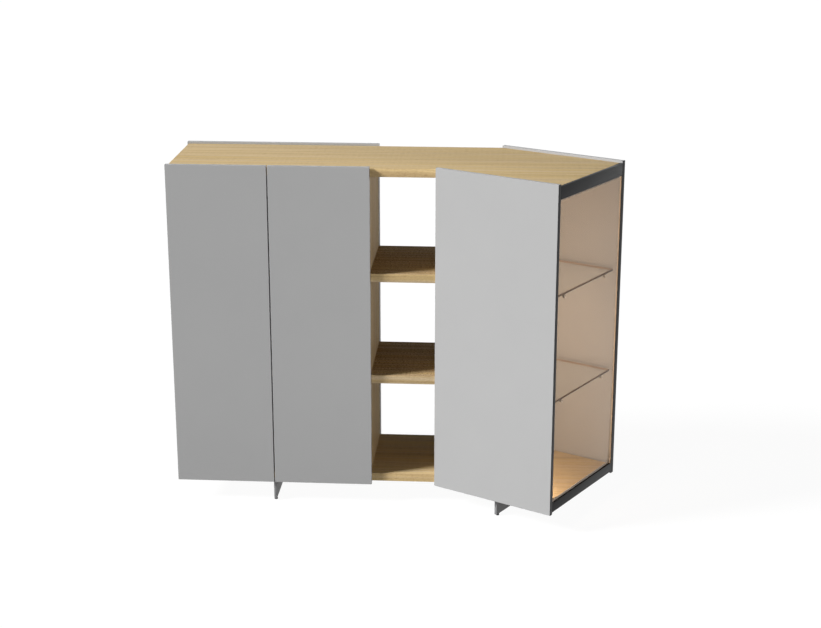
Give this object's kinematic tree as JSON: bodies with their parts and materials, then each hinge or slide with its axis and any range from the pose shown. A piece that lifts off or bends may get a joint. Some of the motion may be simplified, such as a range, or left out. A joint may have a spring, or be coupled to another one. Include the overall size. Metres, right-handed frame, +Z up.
{
  "type": "cupboard",
  "caption": "Free-standing cupboard bent in plan: a two-door unit, an open shelf bay and an angled showcase with one door, a glass end and glass shelves, on blade feet.",
  "frame": {"origin": "under the middle of the cupboard's bounding box, on the floor", "axes": "+X along the front of the two-door unit towards the showcase, +Y back from the doors, +Z up"},
  "size_m": [1.6806, 0.697, 1.322],
  "materials": {
    "oak": "oiled pale oak, straight grain along the boards",
    "grey_lacquer": "matt light grey lacquer over fibreboard",
    "grey_steel": "matt light grey powder coat",
    "anthracite": "satin anthracite anodised",
    "bronze_glass": "clear with a warm tint",
    "clear_glass": "clear, ground edges",
    "pale_seal": "soft pale grey",
    "black_plastic": "matt black",
    "grey_plastic": "matt grey",
    "bright_steel": "nickel-plated"
  },
  "bodies": {
    "carcass": {"top_board": "oak", "bottom_board": "oak", "left_side": "oak", "bay_left_side": "oak", "bay_right_side": "oak", "bay_shelf_upper": "oak", "bay_shelf_lower": "oak", "left_back_panel": "grey_lacquer", "right_back_panel": "grey_lacquer", "right_back_edge": "anthracite", "inner_shelf_upper": "oak", "inner_shelf_lower": "oak", "inner_shelf_pins": "bright_steel", "end_pane": "bronze_glass", "end_rail_top": "anthracite", "end_rail_bottom": "anthracite", "end_stile": "anthracite", "rail_end_caps": "black_plastic", "pane_seal_top": "pale_seal", "pane_seal_bottom": "pale_seal", "glass_shelf_upper": "clear_glass", "glass_shelf_lower": "clear_glass", "glass_shelf_pins": "bright_steel", "glass_shelf_bonds": "bright_steel", "left_foot": "grey_steel", "right_foot": "grey_steel", "left_gliders": "black_plastic", "right_gliders": "black_plastic", "left_foot_screws": "bright_steel", "right_foot_screws": "bright_steel", "left_arms": "bright_steel", "left_plates": "bright_steel", "right_arms": "bright_steel", "right_plates": "bright_steel", "showcase_arms": "bright_steel", "showcase_plates": "bright_steel", "left_latch": "grey_plastic", "right_latch": "grey_plastic", "showcase_latch": "grey_plastic"},
    "left_door": {"left_door": "grey_lacquer", "left_cups": "bright_steel", "left_hinge_pins": "bright_steel"},
    "right_door": {"right_door": "grey_lacquer", "right_cups": "bright_steel", "right_hinge_pins": "bright_steel"},
    "showcase_door": {"showcase_door": "grey_lacquer", "showcase_door_edge": "anthracite", "showcase_cups": "bright_steel", "showcase_hinge_pins": "bright_steel"},
    "left_plunger": {"left_plunger": "black_plastic"},
    "right_plunger": {"right_plunger": "black_plastic"},
    "showcase_plunger": {"showcase_plunger": "black_plastic"}
  },
  "joints": [
    {"name": "left_door_hinge", "type": "hinge", "parent": "carcass", "child": "left_door", "pos_m": [-0.83133, -0.09154, 0.702], "axis": [0, 0, -1], "range_deg": [0, 90]},
    {"name": "right_door_hinge", "type": "hinge", "parent": "carcass", "child": "right_door", "pos_m": [-0.09933, -0.09154, 0.702], "axis": [0, 0, 1], "range_deg": [0, 90]},
    {"name": "showcase_door_hinge", "type": "hinge", "parent": "carcass", "child": "showcase_door", "pos_m": [0.16105, -0.09244, 0.702], "axis": [0, 0, -1], "range_deg": [0, 90]},
    {"name": "left_plunger_slide", "type": "slide", "parent": "carcass", "child": "left_plunger", "axis": [0, 1, 0], "range_m": [0, 0.003], "stiffness_N_per_m": 400},
    {"name": "right_plunger_slide", "type": "slide", "parent": "carcass", "child": "right_plunger", "axis": [0, 1, 0], "range_m": [0, 0.003], "stiffness_N_per_m": 400},
    {"name": "showcase_plunger_slide", "type": "slide", "parent": "carcass", "child": "showcase_plunger", "axis": [0.5, 0.866, 0], "range_m": [0, 0.003], "stiffness_N_per_m": 400}
  ]
}
